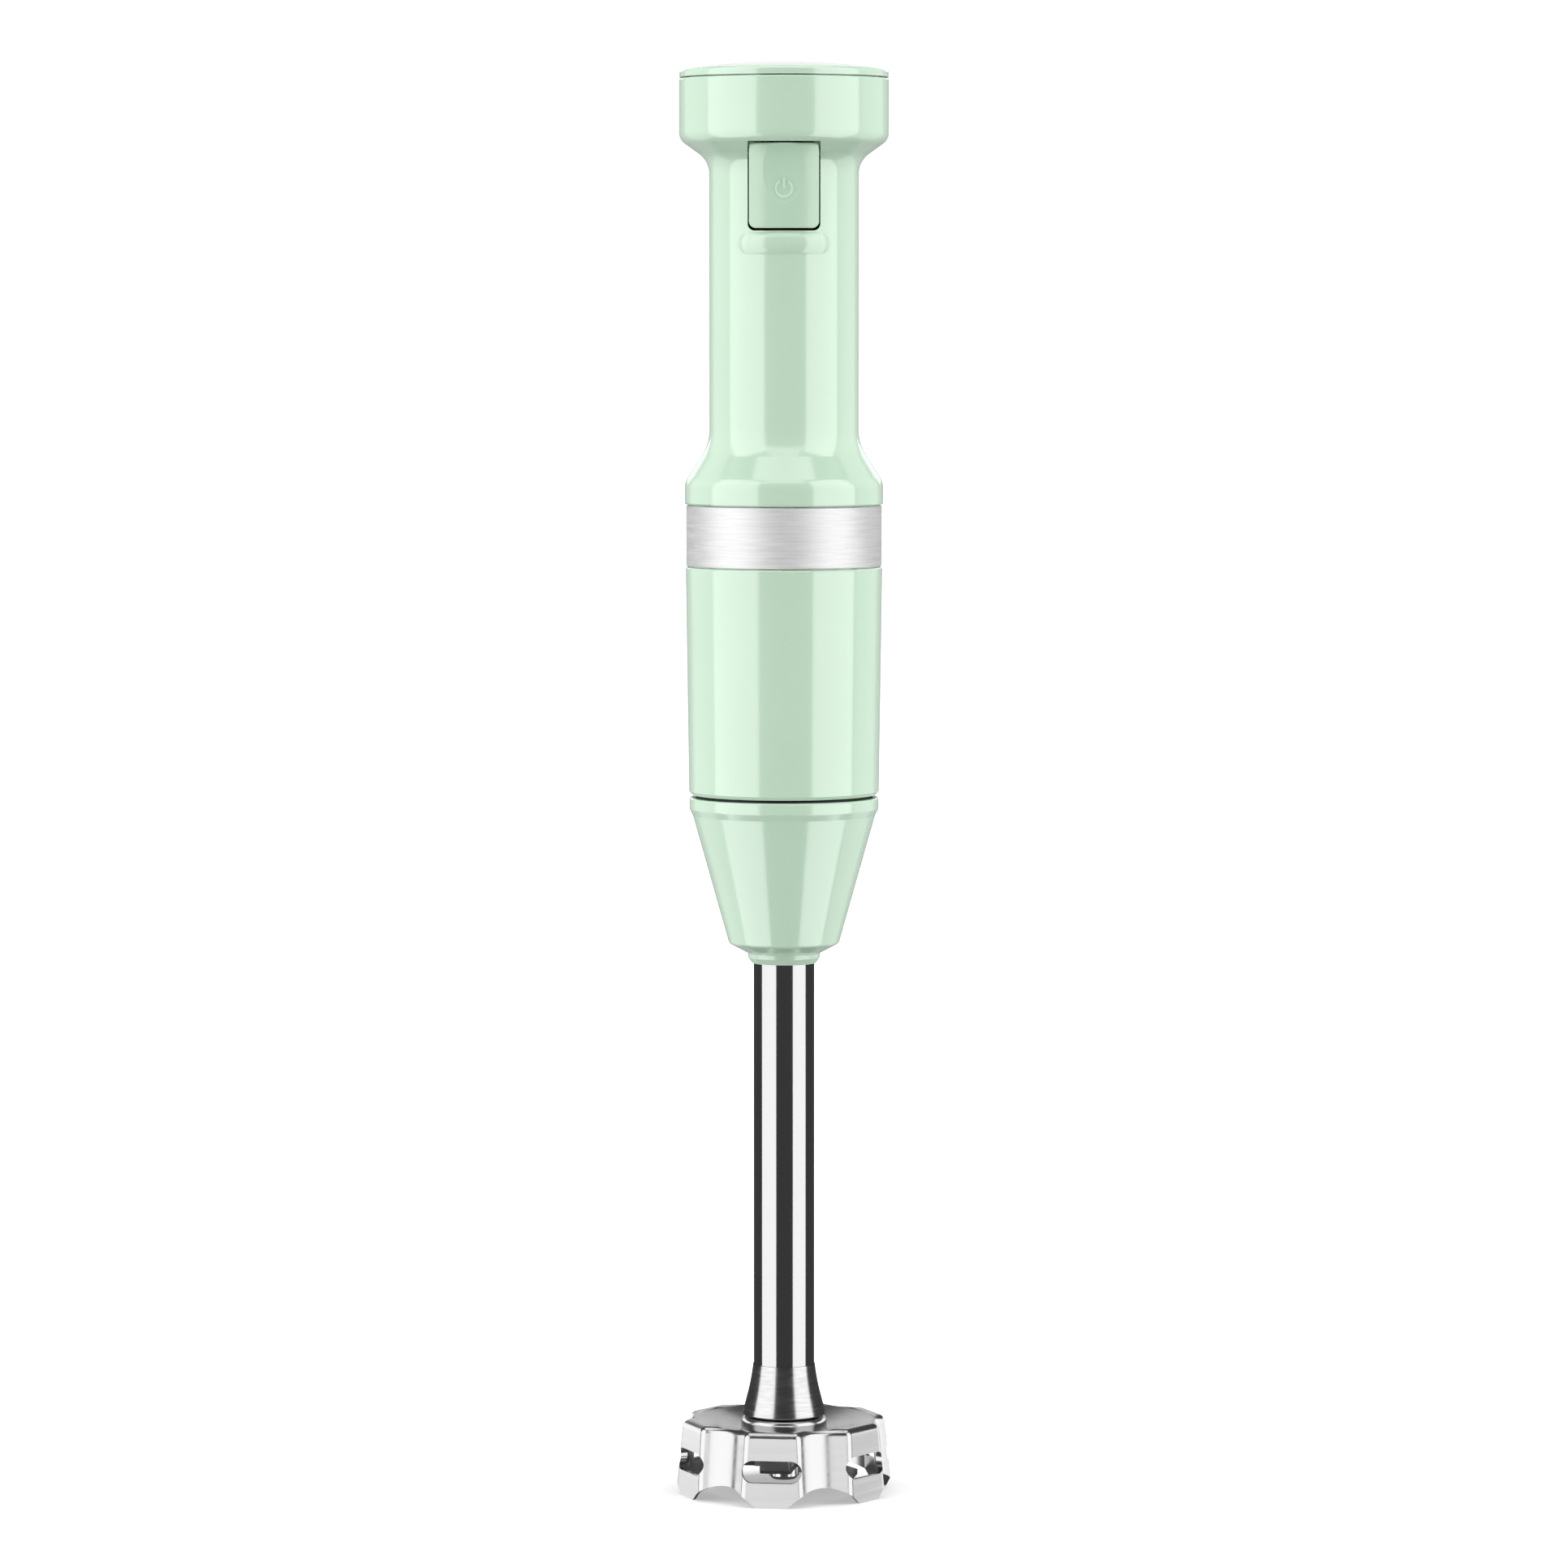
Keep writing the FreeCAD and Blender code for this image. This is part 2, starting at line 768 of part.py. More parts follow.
def make_cord_inlet():
    body = new_body("cord_gland")
    y_cylinder(body, "0", "inlet_height", "inlet_barrel - 0.05", "-inlet_outer_end", "-inlet_inner_end")
    y_cylinder(
        body,
        "0",
        "inlet_height",
        "inlet_flange",
        "-inlet_inner_end - inlet_flange_width",
        "-inlet_inner_end",
    )
    start = "-inlet_outer_end - 1"
    y_cylinder(body, "0", "inlet_height", "inlet_bore", start, "-inlet_inner_end + 1", cut=True)

    clamp = new_body("cord_clamp")
    wide = ("-clamp_half_width", "clamp_half_width")
    below = "inlet_height - clamp_gap"
    above = "inlet_height + clamp_gap"
    y_box(clamp, *wide, "inlet_height - clamp_base", below, "-clamp_outer", "-clamp_inner")
    y_box(clamp, *wide, above, above + " + clamp_bar", "-clamp_outer", "-clamp_inner")
    block = new_body("terminal_block")
    block_top = "inlet_height + block_rise"
    y_box(block, *wide, "inlet_height - clamp_base", block_top, "-block_outer", "-block_inner")
    screws = new_body("clamp_screws")
    for side in ("-clamp_screw_x", "clamp_screw_x"):
        sketch = new_sketch(screws, plane="XY_Plane", offset=below + " + 0.05")
        draw_circle(sketch, side, "(clamp_outer + clamp_inner) / 2", "clamp_screw")
        pad(screws, sketch, "2 * clamp_gap - 0.1")


def make_shell_screws():
    body = new_body("shell_screws")
    for side in ("screw_x", "-screw_x"):
        y_cylinder(body, side, "screw_height", "screw_shank - 0.02", "-screw_seat", "-screw_tip - 0.2")
        y_cylinder(
            body, side, "screw_height", "screw_head - 0.2", "-screw_seat - screw_head_height", "-screw_seat"
        )
        sketch = new_sketch(body, offset="-screw_seat - screw_head_height")
        low = "screw_height - 0.35"
        high = "screw_height + 0.35"
        draw_loop(sketch, box_corners(side + " - 1.8", side + " + 1.8", low, high))
        pocket(body, sketch, "0.9", along=True)


# ---------------------------------------------------------------- trigger and switch


def make_trigger():
    body = new_body("trigger")
    outline = box_corners("-button_half_width", "button_half_width", "button_bottom", "button_top")
    sketch = new_sketch(body, offset="button_back")
    draw_loop(sketch, rounded_box(outline, "button_low_round", "button_high_round"))
    pad(body, sketch, "15")
    # The face is turned about the same axis as the handle, and leans out towards the head.
    groove(
        body,
        [
            ("button_face_low", "button_bottom - 1"),
            ("button_face_low + 15", "button_bottom - 1"),
            ("button_face_low + 15", "button_top + 1"),
            ("button_face_high", "button_top + 1"),
        ],
    )
    face = next(side for side in body.Tip.Shape.Faces if isinstance(side.Surface, Part.Cone))
    round_edges(body, "button_edge_round", lambda edge: any(edge.isSame(rim) for rim in face.Edges))
    dish = body.newObject("PartDesign::SubtractiveSphere", "thumb_dish")
    bind(dish, "Radius", "dish_radius")
    dish.Placement = FreeCAD.Placement(
        Vector(0, -size("dish_centre"), size("dish_height")), FreeCAD.Rotation()
    )
    doc.recompute()
    low = "button_bottom + 1.8"
    y_box(body, "-8.2", "8.2", low, "button_top - 6", "button_back", "button_skin", cut=True)
    y_cylinder(body, "0", "boss_height", "boss_size", "boss_end", "button_skin + 0.5")
    sketch = new_sketch(body, plane="YZ_Plane")
    draw_circle(sketch, "-pivot_inset", "pivot_height", "pin_radius + running_fit")
    pocket(body, sketch, "30", both=True)


def make_power_symbol():
    """A broken ring and a bar, a little proud of the thumb dish."""
    outline = doc.addObject("PartDesign::Body", "symbol_outline")
    sketch = new_sketch(outline, offset="button_skin")
    draw_circle(sketch, "0", "dish_height", "symbol_radius")
    draw_circle(sketch, "0", "dish_height", "symbol_radius - symbol_stroke")
    pad(outline, sketch, "8")
    y_box(
        outline,
        "-symbol_gap / 2 - 0.2",
        "symbol_gap / 2 + 0.2",
        "dish_height",
        "dish_height + 4",
        "button_skin - 1",
        "button_skin + 9",
        cut=True,
    )
    y_box(
        outline,
        "-symbol_stroke / 2",
        "symbol_stroke / 2",
        "symbol_bar_bottom",
        "symbol_bar_top",
        "button_skin",
        "button_skin + 8",
    )
    centre = Vector(0, -size("dish_centre"), size("dish_height"))
    skins = []
    for label, inset in (("symbol_base", "0"), ("symbol_face", "symbol_proud")):
        sphere = doc.addObject("Part::Sphere", label)
        bind(sphere, "Radius", "dish_radius - (%s)" % inset)
        sphere.Placement = FreeCAD.Placement(centre, FreeCAD.Rotation())
        skins.append(sphere)
    skin = doc.addObject("Part::Cut", "symbol_skin")
    skin.Base, skin.Tool = skins
    symbol = doc.addObject("Part::Common", "power_symbol")
    symbol.Base = outline
    symbol.Tool = skin
    symbol.Label = "power_symbol"
    pieces.append(symbol)
    doc.recompute()


def make_trigger_pin():
    body = new_body("trigger_pin")
    sketch = new_sketch(body, plane="YZ_Plane")
    draw_circle(sketch, "-pivot_inset", "pivot_height", "pin_radius - 0.01")
    pad(body, sketch, "2 * pin_half_length - 0.4", both=True)


def make_switch():
    sensor = new_body("speed_sensor")
    y_box(
        sensor,
        "-sensor_half_width",
        "sensor_half_width",
        "sensor_bottom",
        "sensor_top",
        "board_front",
        "sensor_front",
    )
    y_cylinder(sensor, "0", "boss_height", "plunger_rod + running_fit", "2", "sensor_front + 1", cut=True)
    plunger = new_body("switch_plunger")
    y_cylinder(plunger, "0", "boss_height", "plunger_head", "plunger_head_back", "plunger_front")
    y_cylinder(plunger, "0", "boss_height", "plunger_rod", "plunger_back", "plunger_head_back")

    spring = new_body("trigger_spring")
    sketch = new_sketch(spring)
    draw_circle(sketch, "spring_radius", "0", "spring_wire")
    coil = spring.newObject("PartDesign::AdditiveHelix", "spring_coil")
    coil.Profile = sketch
    coil.ReferenceAxis = (origin_part(spring, "Z_Axis"), [""])
    coil.Mode = "pitch-height-angle"
    bind(coil, "Pitch", "spring_pitch")
    bind(coil, "Height", "spring_front - spring_back - 2 * spring_wire")
    spring.Placement = FreeCAD.Placement(
        Vector(0, -size("spring_back + spring_wire"), size("spring_height")),
        FreeCAD.Rotation(Vector(1, 0, 0), 90),
    )
    doc.recompute()


def make_electronics():
    board = new_body("control_board")
    back = "board_front - board_thickness"
    y_box(board, "-board_half_width", "board_half_width", "board_bottom", "board_top", back, "board_front")
    capacitor = new_body("bulk_capacitor")
    sketch = new_sketch(capacitor, plane="XY_Plane", offset="capacitor_bottom")
    draw_circle(sketch, "0", "capacitor_radius + board_thickness - board_front + 0.1", "capacitor_radius")
    pad(capacitor, sketch, "capacitor_length")
    face = "board_front"
    rectifier = new_body("bridge_rectifier")
    wide = ("-rectifier_half_width", "rectifier_half_width")
    y_box(rectifier, *wide, "rectifier_bottom", "rectifier_top", face, face + " + rectifier_depth")
    transistor = new_body("power_transistor")
    wide = ("-transistor_half_width", "transistor_half_width")
    seat = back + " - transistor_depth"
    y_box(transistor, *wide, "transistor_bottom", "transistor_top", seat, back)
    sink = new_body("heat_sink")
    plate = seat + " - sink_plate"
    y_box(sink, "-sink_half_width", "sink_half_width", "sink_bottom", "sink_top", plate, seat)
    for number in range(SINK_FINS):
        left = "-sink_half_width + %d * sink_pitch" % number
        right = left + " + sink_fin_width"
        y_box(sink, left, right, "sink_bottom", "sink_top", plate + " - sink_fin_depth", plate)
    choke = new_body("filter_choke")
    y_cylinder(choke, "choke_x", "choke_height", "choke_radius", face, face + " + choke_length")
    film = new_body("filter_capacitor")
    wide = ("-film_left", "film_right")
    y_box(film, *wide, "film_bottom", "film_top", face, face + " + film_depth")
    screws = new_body("board_screws")
    for side in ("-board_screw_x", "board_screw_x"):
        head = face + " + board_screw_head"
        y_cylinder(screws, side, "board_screw_height", "board_screw_radius", face, head)
    leads = new_body("motor_leads")
    for side in ("-motor_lead_x", "motor_lead_x"):
        sketch = new_sketch(leads, plane="XY_Plane", offset="end_bell_top")
        draw_circle(sketch, side, "motor_lead_y", "lead_radius")
        pad(leads, sketch, "board_bottom - end_bell_top + lead_overlap")
    supply = new_body("supply_leads")
    for side in ("-supply_lead_x", "supply_lead_x"):
        sketch = new_sketch(supply, plane="XY_Plane", offset="supply_bottom")
        draw_circle(sketch, side, "supply_lead_y", "lead_radius")
        pad(supply, sketch, "inlet_height - clamp_base - supply_bottom")


# ---------------------------------------------------------------- motor


def make_motor():
    can = new_body("motor_can")
    revolve(
        can,
        [
            ("bearing_outer", "can_bottom"),
            ("can_radius", "can_bottom"),
            ("can_radius", "can_top"),
            ("can_radius - can_wall", "can_top"),
            ("can_radius - can_wall", "can_bottom + can_wall"),
            ("bearing_outer", "can_bottom + can_wall"),
        ],
    )
    magnets = new_body("field_magnets")
    inner = "magnet_inner"
    outer = "can_radius - can_wall - 0.02"
    revolve(magnets, box_corners(inner, outer, "magnet_bottom", "magnet_top"))
    y_box(magnets, "-6", "6", "magnet_bottom - 1", "magnet_top + 1", "-30", "30", cut=True)

    bell = new_body("motor_end_bell")
    revolve(
        bell,
        [
            ("bearing_outer", "end_bell_top - bearing_width + 0.5"),
            ("can_radius - can_wall - 0.05", "end_bell_top - bearing_width + 0.5"),
            ("can_radius - can_wall - 0.05", "can_top + 0.02"),
            ("can_radius", "can_top + 0.02"),
            ("can_radius", "end_bell_top - 2"),
            ("can_radius - 6", "end_bell_top"),
            ("bearing_outer", "end_bell_top"),
        ],
    )
    holders = new_body("brush_holders")
    for start, end in (("commutator_radius + 0.6", "19.5"), ("-19.5", "-commutator_radius - 0.6")):
        y_box(holders, "-4", "4", "brush_bottom - 1.2", "end_bell_top - bearing_width + 0.4", start, end)
    narrow = "brush_half_width + 0.02"
    low = "brush_bottom - 0.02"
    for start, end in (("0", "18.5"), ("-18.5", "0")):
        y_box(holders, "-(%s)" % narrow, narrow, low, "brush_top + 0.02", start, end, cut=True)
    brushes = new_body("carbon_brushes")
    start = "commutator_radius + 0.05"
    for near, far in ((start, "brush_outer"), ("-brush_outer", "-(%s)" % start)):
        y_box(brushes, "-brush_half_width", "brush_half_width", "brush_bottom", "brush_top", near, far)

    fit = "bearing_outer - 0.01"
    bore = "shaft_radius + 0.02"
    ring("lower_bearing", bore, fit, "can_bottom + 0.2", "can_bottom + bearing_width")
    ring("upper_bearing", bore, fit, "end_bell_top - bearing_width + 0.5", "end_bell_top - 0.2")
    mount_inner = "can_radius + 0.02"
    mount_outer = "sleeve_inner - 0.02"
    ring("lower_motor_mount", mount_inner, mount_outer, "can_bottom", "can_bottom + mount_width")
    ring("upper_motor_mount", mount_inner, mount_outer, "can_top - mount_width", "can_top")


def make_rotor():
    ring("motor_shaft", "0", "shaft_radius", "shaft_bottom", "shaft_top")
    core = new_body("armature_core")
    bore = "shaft_radius + 0.01"
    revolve(core, box_corners(bore, "core_radius", "core_bottom", "core_top"))
    windings = new_body("armature_windings")
    gap = "0.15"
    for low, high in (
        ("winding_bottom", "core_bottom - 0.05"),
        ("core_top + 0.05", "winding_top"),
    ):
        revolve(windings, box_corners("5", "winding_radius", low, high))
    slot = y_box(
        core,
        "-slot_width / 2",
        "slot_width / 2",
        "core_bottom - 1",
        "core_top + 1",
        "slot_bottom_radius",
        "core_radius + 2",
        cut=True,
    )
    repeat_round(core, [slot], ARMATURE_SLOTS)
    half = "slot_width / 2 - " + gap
    bar = y_box(
        windings,
        "-(%s)" % half,
        half,
        "core_bottom - 1",
        "core_top + 1",
        "slot_bottom_radius + " + gap,
        "winding_radius - 0.3",
    )
    repeat_round(windings, [bar], ARMATURE_SLOTS)
    commutator = ring("commutator", bore, "commutator_radius", "commutator_bottom", "commutator_top")
    cut = y_box(
        commutator,
        "-0.25",
        "0.25",
        "commutator_bottom - 1",
        "commutator_top + 1",
        "commutator_radius - 1.5",
        "commutator_radius + 2",
        cut=True,
    )
    repeat_round(commutator, [cut], ARMATURE_SLOTS)

    fan = ring("cooling_fan", bore, "fan_hub", "fan_bottom", "fan_top")
    revolve(fan, box_corners("fan_hub - 1", "fan_radius", "fan_top - 1.2", "fan_top"))
    blade = y_box(fan, "-0.7", "0.7", "fan_bottom", "fan_top - 0.5", "fan_hub - 1", "fan_radius - 0.5")
    repeat_round(fan, [blade], FAN_BLADES)

    hub = new_body("motor_coupling")
    revolve(hub, box_corners("0", "driver_hub_radius", "driver_top - 0.8", "driver_top + 2.4"))
    sketch = new_sketch(hub, plane="XY_Plane", offset="driver_bottom")
    draw_loop(sketch, hexagon("hex_radius"))
    pad(hub, sketch, "driver_top - driver_bottom")
    groove(hub, box_corners("0", "shaft_radius + 0.01", "shaft_bottom - 0.02", "driver_top + 3"))


def hexagon(radius):
    corners = []
    for number in range(6):
        angle = number * 60
        corners.append(("(%s) * cos(%d)" % (radius, angle), "(%s) * sin(%d)" % (radius, angle)))
    return corners


# ---------------------------------------------------------------- bayonet joint and arm


def sector(body, angle_text, middle, radius, bottom, top, cut=False):
    """A wedge between two angles round Z, added to or cut from a body."""
    half = size(angle_text) / 2
    reach = "(%s) / cos(%s / 2)" % (radius, angle_text)
    corners = [("0", "0")]
    for turn in (middle - half, middle + half):
        corners.append(("%s * cos(%f)" % (reach, turn), "%s * sin(%f)" % (reach, turn)))
    sketch = new_sketch(body, plane="XY_Plane", offset=bottom)
    draw_loop(sketch, corners)
    length = "%s - (%s)" % (top, bottom)
    return pocket(body, sketch, length, along=True) if cut else pad(body, sketch, length)


def make_bayonet():
    socket = new_body("arm_socket")
    revolve(
        socket,
        [
            ("tab_radius", "socket_bottom"),
            ("socket_outer", "socket_bottom"),
            ("socket_outer", "socket_top"),
            ("driver_hub_radius + 0.5", "socket_top"),
            ("driver_hub_radius + 0.5", "socket_floor"),
            ("socket_bore", "socket_floor"),
            ("socket_bore", "tab_top"),
            ("tab_radius", "tab_top"),
        ],
    )
    slots = new_body_tool("entry_slots")
    revolve(slots, box_corners("0", "socket_bore", "socket_bottom - 1", "tab_top + 1"))
    keep = "360 / %d - slot_angle" % BAYONET_LUGS
    wedge = sector(slots, keep, 60, "socket_bore + 2", "socket_bottom - 2", "tab_top + 2", cut=True)
    repeat_round(slots, [wedge], BAYONET_LUGS)
    subtract(socket, slots)

    collar = new_body("arm_collar")
    revolve(
        collar,
        [
            ("bush_outer + running_fit", "collar_seat"),
            ("collar_seat_radius - 0.02", "collar_seat"),
            ("collar_seat_radius - 0.02", "rim_top"),
            ("collar_radius", "rim_top"),
            ("collar_radius", "collar_top"),
            ("collar_bore", "collar_top"),
            ("collar_bore", "collar_seat + 2.6"),
            ("bush_outer + running_fit", "collar_seat + 2.6"),
        ],
    )
    lugs = new_body_tool("lug_ring")
    revolve(lugs, box_corners("collar_radius - 0.5", "lug_radius", "lug_bottom", "lug_top"))
    gap = "360 / %d - lug_angle" % BAYONET_LUGS
    wedge = sector(lugs, gap, 60, "lug_radius + 2", "lug_bottom - 1", "lug_top + 1", cut=True)
    repeat_round(lugs, [wedge], BAYONET_LUGS)
    combine(collar, lugs, "Fuse")


def new_body_tool(name):
    """A body that only shapes another one, and isn't a piece of the object."""
    return doc.addObject("PartDesign::Body", name)


def combine(body, tool, kind):
    operation = body.newObject("PartDesign::Boolean", body.Name + "_" + kind.lower())
    operation.Type = kind
    operation.setObjects([tool])
    doc.recompute()


def subtract(body, tool):
    combine(body, tool, "Cut")


def make_arm():
    housing = new_body("arm_housing")
    slope = "(cone_top_radius - cone_bottom_radius) / (cone_top - cone_bottom)"
    inner_low = "nose_top + 4.5"
    inner_low_radius = "cone_bottom_radius + %s * 1.6 - housing_wall" % slope
    revolve(
        housing,
        [
            ("tube_radius + 0.02", "nose_bottom"),
            ("nose_tip_radius", "nose_bottom"),
            ("nose_radius", "nose_bottom + 1.6"),
            ("nose_radius", "nose_top"),
            ("cone_bottom_radius", "cone_bottom"),
            ("cone_top_radius", "cone_top"),
            ("rim_radius", "rim_bottom"),
            ("rim_radius", "rim_top"),
            ("seal_outer", "rim_top"),
            ("seal_outer", "seal_bottom"),
            ("seal_inner", "seal_bottom"),
            ("seal_inner", "rim_top"),
            ("collar_seat_radius", "rim_top"),
            ("collar_seat_radius", "collar_seat"),
            ("collar_seat_radius - 1.2", "collar_seat - 1.6"),
            (inner_low_radius, inner_low),
            ("tube_radius + 0.02", inner_low),
        ],
    )
    round_edges(body=housing, radius="1.2", chosen=ring_at("cone_bottom_radius", "cone_bottom"))
    round_edges(body=housing, radius="0.7", chosen=ring_at("rim_radius", "rim_bottom"))
    round_edges(body=housing, radius="0.5", chosen=ring_at("rim_radius", "rim_top"))
    ring("rim_seal", "seal_inner + 0.02", "seal_outer - 0.02", "seal_bottom + 0.02", "seal_top")
    ring("shaft_tube", "tube_radius - tube_wall", "tube_radius", "tube_bottom + 0.05", "tube_top")
    bush = new_body("upper_bush")
    revolve(
        bush,
        [
            ("drive_radius + running_fit", "upper_bush_bottom"),
            ("bush_outer", "upper_bush_bottom"),
            ("bush_outer", "upper_bush_top"),
            ("upper_bush_flange", "upper_bush_top"),
            ("upper_bush_flange", "upper_bush_top + 0.9"),
            ("drive_radius + running_fit", "upper_bush_top + 0.9"),
        ],
    )


# ---------------------------------------------------------------- bell


def lobed_block(body, inset, bottom, top):
    """A six-sided block that narrows upwards, with a hollow flute along each of its corners.
    Its walls are moved inwards by inset."""
    sections = []
    for height in (bottom, top):
        apothem = "(panel_foot + (panel_top - panel_foot) * (%s) / bell_top - %s)" % (height, inset)
        sketch = new_sketch(body, plane="XY_Plane", offset=height)
        draw_loop(sketch, hexagon("%s / cos(30)" % apothem))
        sections.append(sketch)
    loft = body.newObject("PartDesign::AdditiveLoft", body.Name + "_loft")
    loft.Profile = sections[0]
    loft.Sections = sections[1:]
    loft.Ruled = True
    doc.recompute()
    lean = math.atan2(size("flute_centre_foot - flute_centre_top"), size("bell_top"))
    flute = body.newObject("PartDesign::SubtractiveCylinder", body.Name + "_flute")
    bind(flute, "Radius", "flute_radius + %s" % inset)
    bind(flute, "Height", "bell_top + 20")
    low = -10
    flute.Placement = FreeCAD.Placement(
        Vector(size("flute_centre_foot") - low * math.tan(lean), 0, low),
        FreeCAD.Rotation(Vector(0, 1, 0), -math.degrees(lean)),
    )
    doc.recompute()
    repeat_round(body, [flute], LOBES)


def make_bell():
    cavity = new_body_tool("bell_cavity")
    lobed_block(cavity, "sheet", "-1", "bell_top - 0.6")
    # The roof of the cavity follows the dished top plate, one sheet below it.
    roof = [
        ("0", "plate_centre - sheet"),
        ("bead_radius", "plate_centre - sheet"),
        ("plate_rim_radius", "plate_rim - sheet - 0.4"),
        ("plate_rim_radius + 8", "plate_rim - sheet - 0.4"),
        ("plate_rim_radius + 8", "plate_rim + 6"),
        ("0", "plate_rim + 6"),
    ]
    groove(cavity, roof)

    bell = new_body("bell")
    lobed_block(bell, "0", "0", "bell_top")
    top = size("bell_top")
    round_edges(bell, "panel_edge_round", lambda edge: 18 < edge.Length < 30 and edge.BoundBox.ZMin < 0.5)
    round_edges(bell, "bell_edge_round", lambda edge: edge.BoundBox.ZMin > top - 0.01)
    groove(
        bell,
        [
            ("0", "plate_centre"),
            ("bead_radius", "plate_centre"),
            ("plate_rim_radius - 1.5", "plate_rim - 0.15"),
            ("plate_rim_radius - 1.5", "plate_rim + 6"),
            ("0", "plate_rim + 6"),
        ],
    )
    subtract(bell, cavity)
    revolve(bell, box_corners("seal_radius", "bead_radius", "plate_centre - sheet", "bead_top"))
    round_edges(bell, "bead_round", ring_at("bead_radius", "bead_top"))
    groove(bell, box_corners("0", "seal_radius", "plate_centre - sheet - 1", "bead_top + 1"))
    sketch = new_sketch(bell, offset="10")
    draw_loop(sketch, obround("window_half_width", "window_half_height", "window_height"))
    window = pocket(bell, sketch, "30", along=True)
    repeat_round(bell, [window], LOBES)

    # Each arch between two feet is cut outwards from the axis, in line with a flute.
    sketch = new_sketch(bell)
    sketch.AttachmentOffset = FreeCAD.Placement(Vector(), FreeCAD.Rotation(Vector(0, 1, 0), LOBE_STEP / 2))
    draw_loop(
        sketch,
        [
            ("-foot_half_gap", "-2"),
            ("foot_half_gap", "-2"),
            ("foot_half_gap", "0"),
            ("foot_step_half_gap", "foot_step", "arch_radius"),
            ("-foot_step_half_gap", "foot_step"),
            ("-foot_half_gap", "0"),
        ],
    )
    arch = pocket(bell, sketch, "40", along=True)
    repeat_round(bell, [arch], LOBES)
    bell.Placement = FreeCAD.Placement(Vector(), FreeCAD.Rotation(Vector(0, 0, 1), size("bell_turn")))
    doc.recompute()

    neck = new_body("bell_neck")
    revolve(
        neck,
        [
            ("tube_radius - tube_wall - 1.4", "neck_bottom"),
            ("neck_bottom_radius", "neck_bottom"),
            ("neck_mid_radius", "neck_middle", "neck_flare_round"),
            ("neck_top_radius", "tube_bottom"),
            ("tube_radius - tube_wall - 0.02", "tube_bottom"),
            ("tube_radius - tube_wall - 0.02", "tube_bottom + 6"),
            ("tube_radius - tube_wall - 1.4", "tube_bottom + 6"),
        ],
    )
    round_edges(neck, "0.3", ring_at("neck_bottom_radius", "neck_bottom"))


def obround(half_width, half_height, height):
    """A slot outline with round ends."""
    run = "%s - %s" % (half_width, half_height)
    low = "%s - %s" % (height, half_height)
    high = "%s + %s" % (height, half_height)
    bend = "%s * 1.0001" % half_height
    return [("-(%s)" % run, low), (run, low, bend), (run, high), ("-(%s)" % run, high, bend)]


# ---------------------------------------------------------------- drive shaft and blade


def make_drive():
    ring("drive_shaft", "0", "drive_radius", "drive_bottom", "drive_top")
    coupling = new_body("driven_coupling")
    revolve(coupling, box_corners("0", "coupling_radius", "coupling_bottom", "coupling_top"))
    sketch = new_sketch(coupling, plane="XY_Plane", offset="coupling_top")
    draw_loop(sketch, hexagon("hex_socket_radius"))
    pocket(coupling, sketch, "coupling_top - coupling_socket")
    groove(coupling, box_corners("0", "drive_radius + 0.01", "coupling_bottom - 1", "drive_top + 0.02"))

    fit = "drive_radius + running_fit"
    ring("lower_bush", fit, "seal_radius - 0.02", "lower_bush_bottom", "lower_bush_top")
    ring("lower_seal", fit, "seal_radius - 0.02", "plate_centre - sheet", "lower_bush_bottom - 0.1")
    ring("thrust_washer", "drive_radius + 0.01", "hub_radius", "hub_top + 0.02", "hub_top + 0.6")

    hub = "drive_radius + 0.01"
    high = "blade_height + blade_thickness"
    ring("blade_hub", hub, "hub_radius", high + " + 0.02", "hub_top")
    nut = new_body("blade_nut")
    revolve(
        nut,
        [
            ("0", "drive_bottom - 1"),
            ("nut_radius - 1", "drive_bottom - 1"),
            ("nut_radius", "drive_bottom"),
            ("nut_radius", "blade_height - 0.02"),
            ("drive_radius + 0.01", "blade_height - 0.02"),
            ("drive_radius + 0.01", "drive_bottom - 0.02"),
            ("0", "drive_bottom - 0.02"),
        ],
    )
    make_blade()


